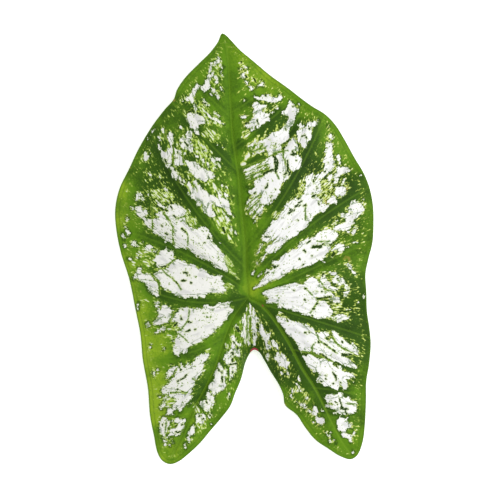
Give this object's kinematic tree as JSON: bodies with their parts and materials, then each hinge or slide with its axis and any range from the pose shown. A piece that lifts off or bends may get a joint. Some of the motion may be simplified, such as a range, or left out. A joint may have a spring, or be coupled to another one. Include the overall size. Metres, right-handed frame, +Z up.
{
  "type": "caladium leaf",
  "caption": "Single picked arrow-shaped caladium leaf with a waved blade, deep sinus and raised veins, lying upper face up on its tip and two lobe ends.",
  "frame": {"origin": "on the surface that the leaf lies on, under the middle of the leaf's box", "axes": "+Z up through the upper face, +Y towards the leaf's tip, +X towards the right of the leaf seen from above with its tip up"},
  "size_m": [0.1494, 0.2498, 0.0215],
  "materials": {
    "leaf": "satin"
  },
  "bodies": {
    "root": {"caladium_leaf": "leaf"}
  },
  "joints": []
}
